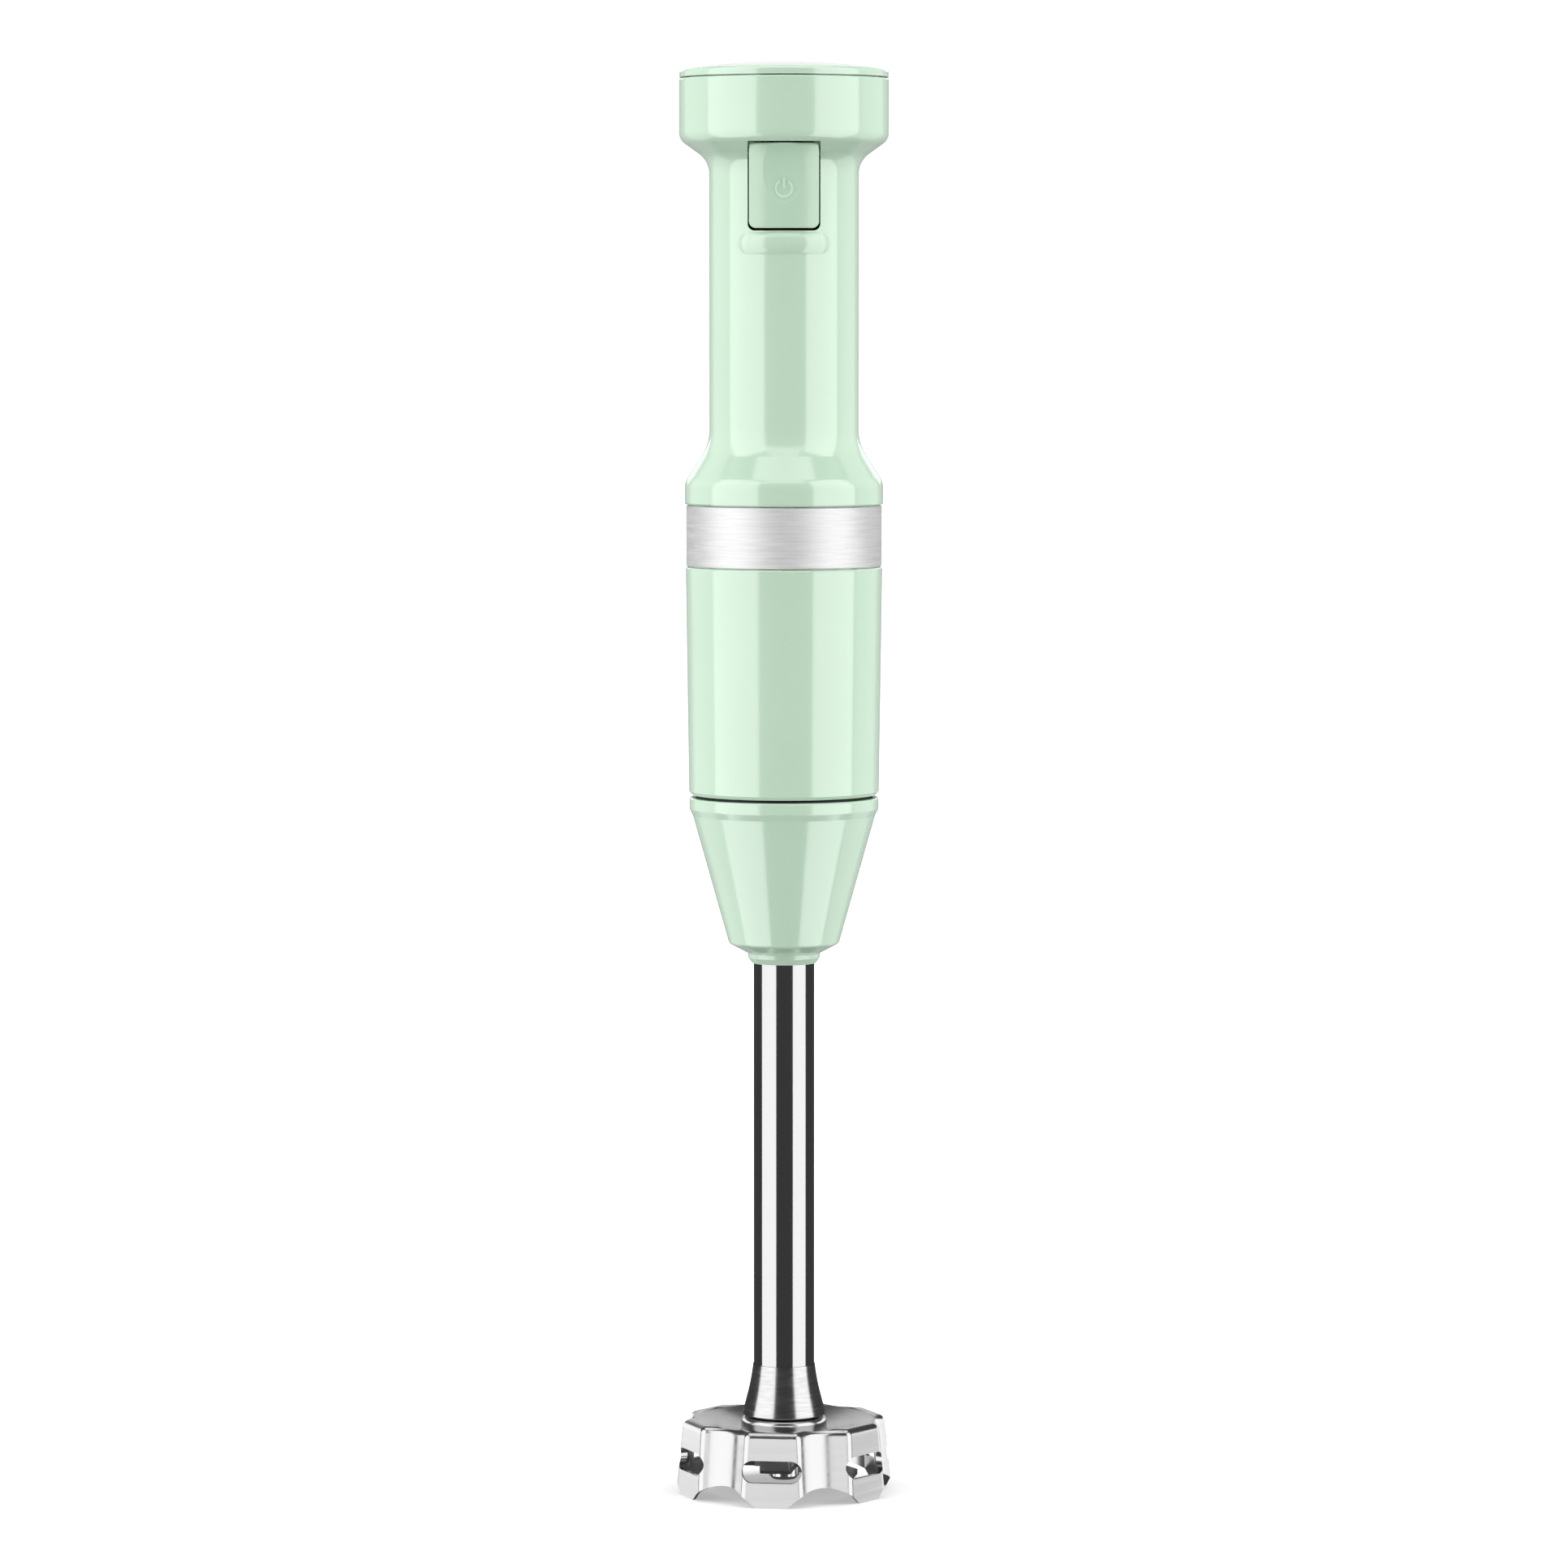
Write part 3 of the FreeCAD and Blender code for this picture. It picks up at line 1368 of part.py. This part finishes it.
def make_blade():
    """Two wings that end in upright tabs, and two that slope down towards their tips."""
    blade = new_body("blade")
    thick = "blade_thickness"
    low = "blade_height"
    sketch = new_sketch(blade, plane="YZ_Plane")
    draw_loop(
        sketch,
        [
            ("-blade_tab_radius", low),
            ("0", low),
            ("0", "%s + %s" % (low, thick)),
            ("-blade_tab_radius + 2", "%s + %s" % (low, thick)),
            ("-blade_tab_radius - 1.2 + %s" % thick, "blade_tab_top"),
            ("-blade_tab_radius - 1.2", "blade_tab_top"),
            ("-blade_tab_radius - 0.8", low + " + 1"),
        ],
    )
    tab = pad(blade, sketch, "2 * blade_half_width", both=True)
    sketch = new_sketch(blade)
    draw_loop(
        sketch,
        [
            ("0", low),
            ("12", low),
            ("blade_reach", low + " - 3"),
            ("blade_reach", "%s - 3 + %s" % (low, thick)),
            ("12", "%s + %s" % (low, thick)),
            ("0", "%s + %s" % (low, thick)),
        ],
    )
    wing = pad(blade, sketch, "2 * blade_half_width", both=True)
    # The leading edge of each tab is ground to a bevel.
    sketch = new_sketch(blade, plane="XY_Plane", offset="blade_tab_top + 1")
    draw_loop(
        sketch,
        [
            ("blade_half_width - 1.8", "-blade_tab_radius - 3"),
            ("blade_half_width + 1", "-blade_tab_radius - 3"),
            ("blade_half_width + 1", "-blade_tab_radius + 1.2"),
        ],
    )
    tab_bevel = pocket(blade, sketch, "blade_tab_top - blade_height")
    # A bevel along the leading side of each sloping wing.
    sketch = new_sketch(blade, plane="YZ_Plane", offset="8")
    draw_loop(
        sketch,
        [
            ("blade_half_width - 2", high_of(low, thick) + " + 1"),
            ("blade_half_width + 1", high_of(low, thick) + " + 1"),
            ("blade_half_width + 1", low + " - 3.2"),
        ],
    )
    wing_bevel = pocket(blade, sketch, "20", along=True)
    repeat_round(blade, [tab, wing, tab_bevel, wing_bevel], 2)
    groove(blade, box_corners("0", "drive_radius + 0.01", "1", "blade_tab_top + 1"))
    blade.Placement = FreeCAD.Placement(Vector(), FreeCAD.Rotation(Vector(0, 0, 1), size("blade_turn")))
    doc.recompute()


def high_of(low, thick):
    return "%s + %s" % (low, thick)


# ---------------------------------------------------------------- checks and files

CUTS = ("PartDesign::Pocket", "PartDesign::Groove", "PartDesign::SubtractiveSphere")


def check_document():
    """Stops on a failed feature, a cut that takes nothing away, or a piece with no sound shape."""
    for item in doc.Objects:
        if "Invalid" in item.State or "Error" in item.State:
            raise RuntimeError("%s is %s" % (item.Name, item.State))
        if item.TypeId in CUTS and item.BaseFeature is not None:
            if item.Shape.Volume > item.BaseFeature.Shape.Volume - 1e-3:
                raise RuntimeError("%s cuts nothing" % item.Name)
    for piece in pieces:
        if piece.Shape.isNull() or not piece.Shape.isValid() or piece.Shape.Volume <= 0:
            raise RuntimeError("%s has no sound shape" % piece.Label)


def write_files():
    os.makedirs("parts", exist_ok=True)
    for old in os.listdir("parts"):
        os.remove(os.path.join("parts", old))
    for piece in pieces:
        piece.Shape.exportStep(os.path.join("parts", piece.Label + ".step"))
        solids = len(piece.Shape.Solids)
        print("%-20s %9.1f mm3 in %d" % (piece.Label, piece.Shape.Volume, solids))


fill_sheet()
make_top_cap()
make_front_shell()
make_rear_shell()
make_sleeve()
make_trim_band()
make_cord_inlet()
make_shell_screws()
make_trigger()
make_power_symbol()
make_trigger_pin()
make_switch()
make_electronics()
make_motor()
make_rotor()
make_bayonet()
make_arm()
make_bell()
make_drive()
check_document()
write_files()
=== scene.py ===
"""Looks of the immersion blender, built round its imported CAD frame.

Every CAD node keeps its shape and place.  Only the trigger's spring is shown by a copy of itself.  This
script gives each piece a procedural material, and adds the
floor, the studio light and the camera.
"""

import json
import math

import bpy
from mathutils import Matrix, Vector


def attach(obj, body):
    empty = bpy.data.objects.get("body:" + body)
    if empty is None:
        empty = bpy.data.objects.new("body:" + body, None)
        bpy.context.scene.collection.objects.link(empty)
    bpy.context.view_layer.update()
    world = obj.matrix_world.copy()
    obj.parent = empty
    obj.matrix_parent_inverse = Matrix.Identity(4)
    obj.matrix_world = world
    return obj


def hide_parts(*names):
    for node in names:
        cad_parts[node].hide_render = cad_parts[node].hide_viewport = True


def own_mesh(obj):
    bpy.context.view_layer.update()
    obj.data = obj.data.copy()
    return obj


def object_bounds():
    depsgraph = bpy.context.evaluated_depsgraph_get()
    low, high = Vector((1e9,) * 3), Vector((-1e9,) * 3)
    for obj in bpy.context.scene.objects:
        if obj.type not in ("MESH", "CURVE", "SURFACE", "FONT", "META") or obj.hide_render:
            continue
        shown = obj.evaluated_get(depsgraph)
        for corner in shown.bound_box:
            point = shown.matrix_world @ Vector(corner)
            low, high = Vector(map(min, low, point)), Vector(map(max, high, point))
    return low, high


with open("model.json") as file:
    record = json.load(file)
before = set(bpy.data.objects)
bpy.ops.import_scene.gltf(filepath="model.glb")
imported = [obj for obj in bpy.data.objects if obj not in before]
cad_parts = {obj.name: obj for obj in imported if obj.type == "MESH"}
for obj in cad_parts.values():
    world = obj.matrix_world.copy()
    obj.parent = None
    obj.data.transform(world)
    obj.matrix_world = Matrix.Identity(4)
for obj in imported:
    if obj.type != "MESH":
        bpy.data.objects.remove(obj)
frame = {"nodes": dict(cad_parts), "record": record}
cad_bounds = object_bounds()
nodes = frame["nodes"]


# ---------------------------------------------------------------- node helpers


class Shader:
    """A material's node tree, with short calls for the nodes that the finishes share."""

    def __init__(self, name):
        self.material = bpy.data.materials.new(name)
        self.material.use_nodes = True
        self.tree = self.material.node_tree
        self.surface = self.tree.nodes["Principled BSDF"]
        self.where = self.add("ShaderNodeTexCoord").outputs["Object"]

    def add(self, kind, **settings):
        node = self.tree.nodes.new(kind)
        for field, value in settings.items():
            setattr(node, field, value)
        return node

    def feed(self, socket, value):
        """Links a node's output to a socket, or sets the socket to a plain value."""
        if isinstance(value, bpy.types.NodeSocket):
            self.tree.links.new(value, socket)
        else:
            socket.default_value = value

    def maths(self, operation, first, second=0.0):
        node = self.add("ShaderNodeMath", operation=operation)
        self.feed(node.inputs[0], first)
        self.feed(node.inputs[1], second)
        return node.outputs[0]

    def scaled(self, scale, vector=None):
        """The coordinates stretched by a factor for each axis."""
        node = self.add("ShaderNodeMapping")
        self.feed(node.inputs["Vector"], vector or self.where)
        node.inputs["Scale"].default_value = scale
        return node.outputs[0]

    def noise(self, scale, vector=None, detail=3.0, roughness=0.5):
        node = self.add("ShaderNodeTexNoise")
        self.feed(node.inputs["Vector"], vector or self.where)
        node.inputs["Scale"].default_value = scale
        node.inputs["Detail"].default_value = detail
        node.inputs["Roughness"].default_value = roughness
        return node.outputs["Fac"]

    def spread(self, value, low, high, from_low=0.3, from_high=0.7):
        """Maps a texture's value on to a range."""
        node = self.add("ShaderNodeMapRange")
        self.feed(node.inputs["Value"], value)
        node.inputs["From Min"].default_value = from_low
        node.inputs["From Max"].default_value = from_high
        node.inputs["To Min"].default_value = low
        node.inputs["To Max"].default_value = high
        return node.outputs["Result"]

    def blend(self, share, first, second):
        node = self.add("ShaderNodeMix", data_type="RGBA")
        self.feed(node.inputs["Factor"], share)
        self.feed(node.inputs["A"], (*first, 1.0))
        self.feed(node.inputs["B"], (*second, 1.0))
        return node.outputs["Result"]

    def bump(self, height, strength, distance):
        node = self.add("ShaderNodeBump")
        self.feed(node.inputs["Height"], height)
        node.inputs["Strength"].default_value = strength
        node.inputs["Distance"].default_value = distance
        self.feed(self.surface.inputs["Normal"], node.outputs["Normal"])

    def round_axis(self):
        """Coordinates that run round the Z axis: the angle, nothing, then the height."""
        split = self.add("ShaderNodeSeparateXYZ")
        self.feed(split.inputs[0], self.where)
        angle = self.maths("ARCTAN2", split.outputs["Y"], split.outputs["X"])
        join = self.add("ShaderNodeCombineXYZ")
        self.feed(join.inputs["X"], angle)
        self.feed(join.inputs["Z"], split.outputs["Z"])
        return join.outputs[0]

    def set(self, **values):
        for name, value in values.items():
            self.feed(self.surface.inputs[name.replace("_", " ")], value)


def shade(colour, factor):
    return tuple(part * factor for part in colour)


def grey(level):
    return (level, level, level)


# ---------------------------------------------------------------- finishes


def moulded_plastic(name, colour, rough, gloss=0.5, coat=0.0):
    """Moulded plastic: faint mottling of the pigment, uneven gloss and a very fine moulded grain."""
    shader = Shader(name)
    mottling = shader.spread(shader.noise(scale=28.0), low=0.0, high=1.0)
    unevenness = shader.noise(scale=60.0, detail=5.0)
    grain = shader.noise(scale=1800.0, detail=2.0)
    shader.set(Base_Color=shader.blend(mottling, shade(colour, 0.985), shade(colour, 1.01)))
    shader.set(Roughness=shader.spread(unevenness, low=rough * 0.92, high=rough * 1.08))
    shader.set(Specular_IOR_Level=gloss, Coat_Weight=coat, Coat_Roughness=rough * 0.5)
    shader.bump(grain, strength=0.12, distance=0.00001)
    return shader.material


def brushed_metal(name, colour, rough, stretch, scale, contrast, depth=0.000006, metal=1.0):
    """Brushed metal: long fine scratches that follow the given stretch of the coordinates."""
    shader = Shader(name)
    along = shader.scaled(stretch, shader.round_axis())
    streaks = shader.noise(scale, along, detail=6.0, roughness=0.65)
    patches = shader.noise(scale=14.0, detail=2.0)
    tint = shader.spread(streaks, low=0.0, high=1.0)
    shader.set(Base_Color=shader.blend(tint, shade(colour, 1 - contrast), shade(colour, 1 + contrast)))
    fine_change = shader.spread(streaks, low=-0.05, high=0.05)
    wide_change = shader.spread(patches, low=-0.015, high=0.015)
    change = shader.maths("ADD", fine_change, wide_change)
    shader.set(Roughness=shader.maths("ADD", change, rough), Metallic=metal, Anisotropic=0.3)
    shader.bump(streaks, strength=0.25, distance=depth)
    return shader.material


def plain_metal(name, colour, rough):
    """Machined or plated metal for the inner pieces."""
    shader = Shader(name)
    patches = shader.noise(scale=90.0, detail=4.0)
    tint = shader.spread(patches, low=0.0, high=1.0)
    shader.set(Base_Color=shader.blend(tint, shade(colour, 0.92), shade(colour, 1.06)))
    shader.set(Roughness=shader.spread(patches, low=rough * 0.85, high=rough * 1.15), Metallic=1.0)
    shader.bump(shader.noise(scale=900.0), strength=0.15, distance=0.00001)
    return shader.material


def rough_solid(name, colour, rough, scale=700.0):
    """Rubber, laminate, ferrite or carbon: matt, with a visible grain."""
    shader = Shader(name)
    grains = shader.noise(scale, detail=4.0)
    tint = shader.spread(grains, low=0.0, high=1.0)
    unevenness = shader.noise(scale=60.0)
    shader.set(Base_Color=shader.blend(tint, shade(colour, 0.85), shade(colour, 1.12)))
    shader.set(Roughness=shader.spread(unevenness, low=rough * 0.92, high=rough * 1.06))
    shader.bump(grains, strength=0.3, distance=0.00003)
    return shader.material


def wound_copper(name, colour):
    """Enamelled wire: close ridges, one above the other."""
    shader = Shader(name)
    wire = shader.add("ShaderNodeTexWave", wave_type="BANDS", bands_direction="Z")
    shader.feed(wire.inputs["Vector"], shader.where)
    wire.inputs["Scale"].default_value = 420.0
    wire.inputs["Distortion"].default_value = 1.5
    ridges = wire.outputs["Fac"]
    unevenness = shader.noise(scale=200.0)
    # The colour is darker in the grooves between the ridges: painted shade.
    shader.set(Base_Color=shader.blend(ridges, shade(colour, 0.6), shade(colour, 1.1)))
    shader.set(Roughness=shader.spread(unevenness, low=0.3, high=0.42), Metallic=1.0)
    shader.bump(ridges, strength=0.5, distance=0.0001)
    return shader.material


# How much a brushed finish's noise is squeezed: by the angle round Z, unused, and by the height.
ROUND_THE_AXIS = (0.12, 1.0, 90.0)
ALONG_THE_AXIS = (26.0, 1.0, 0.6)

GREEN = (0.475, 0.640, 0.500)
BUTTON_GREEN = (0.440, 0.605, 0.462)

RECIPES = {
    "green_shell": (moulded_plastic, dict(colour=GREEN, rough=0.16, gloss=0.9, coat=0.6)),
    "green_button": (moulded_plastic, dict(colour=BUTTON_GREEN, rough=0.24, gloss=0.6, coat=0.3)),
    "symbol": (moulded_plastic, dict(colour=(0.56, 0.72, 0.585), rough=0.35)),
    "trim_steel": (brushed_metal, dict(
        colour=grey(0.70), rough=0.48, stretch=ROUND_THE_AXIS, scale=16.0, contrast=0.12, metal=0.5)),
    "tube_steel": (brushed_metal, dict(
        colour=grey(0.42), rough=0.07, stretch=ALONG_THE_AXIS, scale=4.0, contrast=0.03)),
    "neck_steel": (brushed_metal, dict(
        colour=grey(0.43), rough=0.17, stretch=ROUND_THE_AXIS, scale=14.0, contrast=0.14, depth=0.00002)),
    "bell_steel": (brushed_metal, dict(
        colour=grey(0.45), rough=0.20, stretch=ROUND_THE_AXIS, scale=5.0, contrast=0.02)),
    "blade_steel": (brushed_metal, dict(
        colour=(0.30, 0.30, 0.31), rough=0.32, stretch=ALONG_THE_AXIS, scale=9.0, contrast=0.06)),
    "dark_plastic": (moulded_plastic, dict(colour=(0.035, 0.035, 0.037), rough=0.42)),
    "grey_plastic": (moulded_plastic, dict(colour=(0.10, 0.105, 0.11), rough=0.45)),
    "dark_rubber": (rough_solid, dict(colour=grey(0.03), rough=0.75)),
    "screw_steel": (plain_metal, dict(colour=(0.55, 0.55, 0.57), rough=0.32)),
    "spring_steel": (plain_metal, dict(colour=(0.45, 0.45, 0.46), rough=0.28)),
    "circuit_board": (rough_solid, dict(colour=(0.02, 0.13, 0.05), rough=0.38, scale=400.0)),
    "capacitor_sleeve": (moulded_plastic, dict(colour=(0.02, 0.03, 0.08), rough=0.25, coat=0.2)),
    "film_capacitor": (moulded_plastic, dict(colour=(0.52, 0.38, 0.06), rough=0.4)),
    "lead_insulation": (moulded_plastic, dict(colour=(0.035, 0.022, 0.018), rough=0.4)),
    "plain_aluminium": (plain_metal, dict(colour=(0.72, 0.72, 0.73), rough=0.35)),
    "motor_steel": (plain_metal, dict(colour=(0.40, 0.41, 0.42), rough=0.34)),
    "ferrite": (rough_solid, dict(colour=(0.06, 0.06, 0.065), rough=0.6)),
    "carbon": (rough_solid, dict(colour=grey(0.03), rough=0.6)),
    "coil_copper": (wound_copper, dict(colour=(0.62, 0.25, 0.11))),
    "brush_brass": (plain_metal, dict(colour=(0.66, 0.50, 0.20), rough=0.3)),
    "bush_bronze": (plain_metal, dict(colour=(0.30, 0.26, 0.21), rough=0.4)),
    "bearing_steel": (plain_metal, dict(colour=(0.58, 0.58, 0.60), rough=0.2)),
}
FINISHES = {name: make(name, **settings) for name, (make, settings) in RECIPES.items()}

for part in frame["record"]["subparts"]:
    slots = nodes[part["node"]].data.materials
    slots.clear()
    slots.append(FINISHES[part["material_slot"]])


# ---------------------------------------------------------------- the trigger's spring

spring_mesh = nodes["trigger_spring"].data.copy()
spring = bpy.data.objects.new("coil_spring", spring_mesh)
bpy.context.scene.collection.objects.link(spring)
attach(spring, "motor_unit")
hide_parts("trigger_spring")
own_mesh(spring)


# ---------------------------------------------------------------- floor, light and camera

low, high = (Vector(corner) for corner in cad_bounds)
height = high.z - low.z

CAMERA_DISTANCE = 4.5258 * height
CAMERA_HEIGHT = 0.8186 * height
CAMERA_TILT = 4.047
LENS_TO_SENSOR = 4.1408
SENSOR_WIDTH = 36.0

# The floor's glow is weaker near the object and rises between the start and end radii: a painted shadow
# round the base.
FLOOR_HALF_WIDTH = 60.0
PAINTED_SHADOW_GLOW = 0.32
GLOW_FAR = 1.1
PAINTED_SHADOW_START = 0.03
PAINTED_SHADOW_END = 0.16

BACKDROP_WHITE = 1.05
WORLD_FILL = 0.19
WORLD_REFLECTED = 0.085
FAR = 12.0


def make_camera():
    data = bpy.data.cameras.new("camera")
    data.sensor_width = SENSOR_WIDTH
    data.lens = LENS_TO_SENSOR * data.sensor_width
    camera = bpy.data.objects.new("camera", data)
    camera.location = (0.0, -CAMERA_DISTANCE, CAMERA_HEIGHT)
    camera.rotation_euler = (math.radians(90.0 - CAMERA_TILT), 0.0, 0.0)
    bpy.context.scene.collection.objects.link(camera)
    bpy.context.scene.camera = camera


def make_floor():
    """A pale floor that glows, so that it runs into the white backdrop.  Its glow is dimmer near the
    object: a painted shadow round the base.
    """
    size = FLOOR_HALF_WIDTH
    mesh = bpy.data.meshes.new("floor")
    corners = [(-size, -size, 0.0), (size, -size, 0.0), (size, size, 0.0), (-size, size, 0.0)]
    mesh.from_pydata(corners, [], [(0, 1, 2, 3)])
    floor = bpy.data.objects.new("floor", mesh)
    bpy.context.scene.collection.objects.link(floor)
    floor.location.z = low.z
    shader = Shader("floor")
    tint = shader.spread(shader.noise(scale=30.0), low=0.0, high=1.0)
    shader.set(Base_Color=shader.blend(tint, grey(0.80), grey(0.82)))
    reach = shader.add("ShaderNodeVectorMath", operation="LENGTH")
    shader.feed(reach.inputs[0], shader.where)
    # Weaker glow close to the object paints the floor's shadow round the base.
    glow_and_painted_shadow = shader.spread(reach.outputs["Value"], PAINTED_SHADOW_GLOW, GLOW_FAR, PAINTED_SHADOW_START, PAINTED_SHADOW_END)
    shader.set(Roughness=0.9, Emission_Color=(1.0, 1.0, 1.0, 1.0), Emission_Strength=glow_and_painted_shadow)
    mesh.materials.append(shader.material)
    floor.visible_glossy = False
    floor.visible_diffuse = False
    floor.visible_shadow = False


def make_card(name, azimuth, half_angle, distance, bottom, top, radiance, seen=True, only=None):
    """An upright rectangular light that faces the object.  Azimuth 0 is the camera's side, and
    grows towards +X.  A card that isn't seen lights the matt part of a finish only, and a card
    with a collection lights only that collection's pieces."""
    data = bpy.data.lights.new(name, "AREA")
    data.shape = "RECTANGLE"
    data.size = 2 * distance * math.tan(math.radians(half_angle))
    data.size_y = top - bottom
    data.energy = radiance * math.pi * data.size * data.size_y
    card = bpy.data.objects.new(name, data)
    turn = math.radians(azimuth)
    middle = (top + bottom) / 2
    card.location = (distance * math.sin(turn), -distance * math.cos(turn), middle)
    aim = Vector((0.0, 0.0, middle)) - card.location
    card.rotation_euler = aim.to_track_quat("-Z", "Y").to_euler()
    card.visible_camera = False
    card.visible_glossy = seen
    card.light_linking.receiver_collection = only
    bpy.context.scene.collection.objects.link(card)


def make_top_light(height_above, width, radiance):
    data = bpy.data.lights.new("top_softbox", "AREA")
    data.size = width
    data.energy = radiance * math.pi * width * width
    light = bpy.data.objects.new("top_softbox", data)
    light.location = (0.0, 0.0, height_above)
    light.visible_camera = False
    bpy.context.scene.collection.objects.link(light)


def make_world():
    """White to the camera, a soft even light on matt surfaces, and dim in reflections."""
    world = bpy.data.worlds.new("studio")
    bpy.context.scene.world = world
    world.use_nodes = True
    tree = world.node_tree
    path = tree.nodes.new("ShaderNodeLightPath")
    background = tree.nodes["Background"]
    strength = tree.nodes.new("ShaderNodeMix")
    tree.links.new(path.outputs["Is Glossy Ray"], strength.inputs["Factor"])
    strength.inputs["A"].default_value = WORLD_FILL
    strength.inputs["B"].default_value = WORLD_REFLECTED
    seen = tree.nodes.new("ShaderNodeMix")
    tree.links.new(path.outputs["Is Camera Ray"], seen.inputs["Factor"])
    tree.links.new(strength.outputs["Result"], seen.inputs["A"])
    seen.inputs["B"].default_value = BACKDROP_WHITE
    tree.links.new(seen.outputs["Result"], background.inputs["Strength"])
    background.inputs["Color"].default_value = (1.0, 1.0, 1.0, 1.0)


def far_height(elevation):
    """The height at which a far card's edge stands at an elevation, in degrees, above the floor."""
    return FAR * math.tan(math.radians(elevation))


def lit_group(name, pieces):
    """A collection of pieces that a card's light can be limited to."""
    group = bpy.data.collections.new(name)
    for piece in pieces:
        group.objects.link(piece)
    return group


bell_lit = lit_group("bell_lit", [nodes["bell"]])
green_lit = lit_group("green_lit", [
    nodes[part["node"]]
    for part in frame["record"]["subparts"]
    if part["material_slot"] in ("green_shell", "green_button")
])

make_camera()
make_floor()
make_world()
make_top_light(height_above=2.2, width=2.0, radiance=1.6)
make_card(
    "left_softbox", azimuth=-61.0, half_angle=31.0, distance=1.6, bottom=-1.6, top=2.2, radiance=2.05)
make_card(
    "right_softbox", azimuth=62.0, half_angle=28.0, distance=1.6, bottom=-1.6, top=2.2, radiance=2.05)
make_card(
    "front_card", azimuth=0.0, half_angle=28.0, distance=FAR,
    bottom=far_height(-8.0), top=far_height(20.0), radiance=1.58, only=bell_lit)
make_card(
    "high_front_card", azimuth=0.0, half_angle=30.0, distance=2.0,
    bottom=1.9, top=3.8, radiance=1.3, only=green_lit)
make_card(
    "high_back_card", azimuth=180.0, half_angle=30.0, distance=FAR,
    bottom=1.3, top=8.0, radiance=0.85, only=green_lit)
make_card(
    "back_card", azimuth=180.0, half_angle=28.0, distance=FAR,
    bottom=far_height(0.0), top=far_height(25.0), radiance=0.70, only=bell_lit)
for side in (-1, 1):
    make_card(
        "back_side_card", azimuth=side * 127.5, half_angle=24.5, distance=FAR,
        bottom=far_height(-8.0), top=far_height(20.0), radiance=1.85, only=bell_lit)
    make_card(
        "edge_fill", azimuth=side * 112.0, half_angle=30.0, distance=1.6,
        bottom=-0.6, top=1.8, radiance=0.8, seen=False)
    make_card(
        "shell_side_card", azimuth=side * 118.0, half_angle=24.0, distance=3.0,
        bottom=-2.0, top=3.0, radiance=0.62, only=green_lit)
    make_card(
        "shell_back_card", azimuth=side * 161.0, half_angle=17.0, distance=3.0,
        bottom=-2.0, top=3.0, radiance=0.3, only=green_lit)

bpy.context.scene.view_settings.view_transform = "Standard"
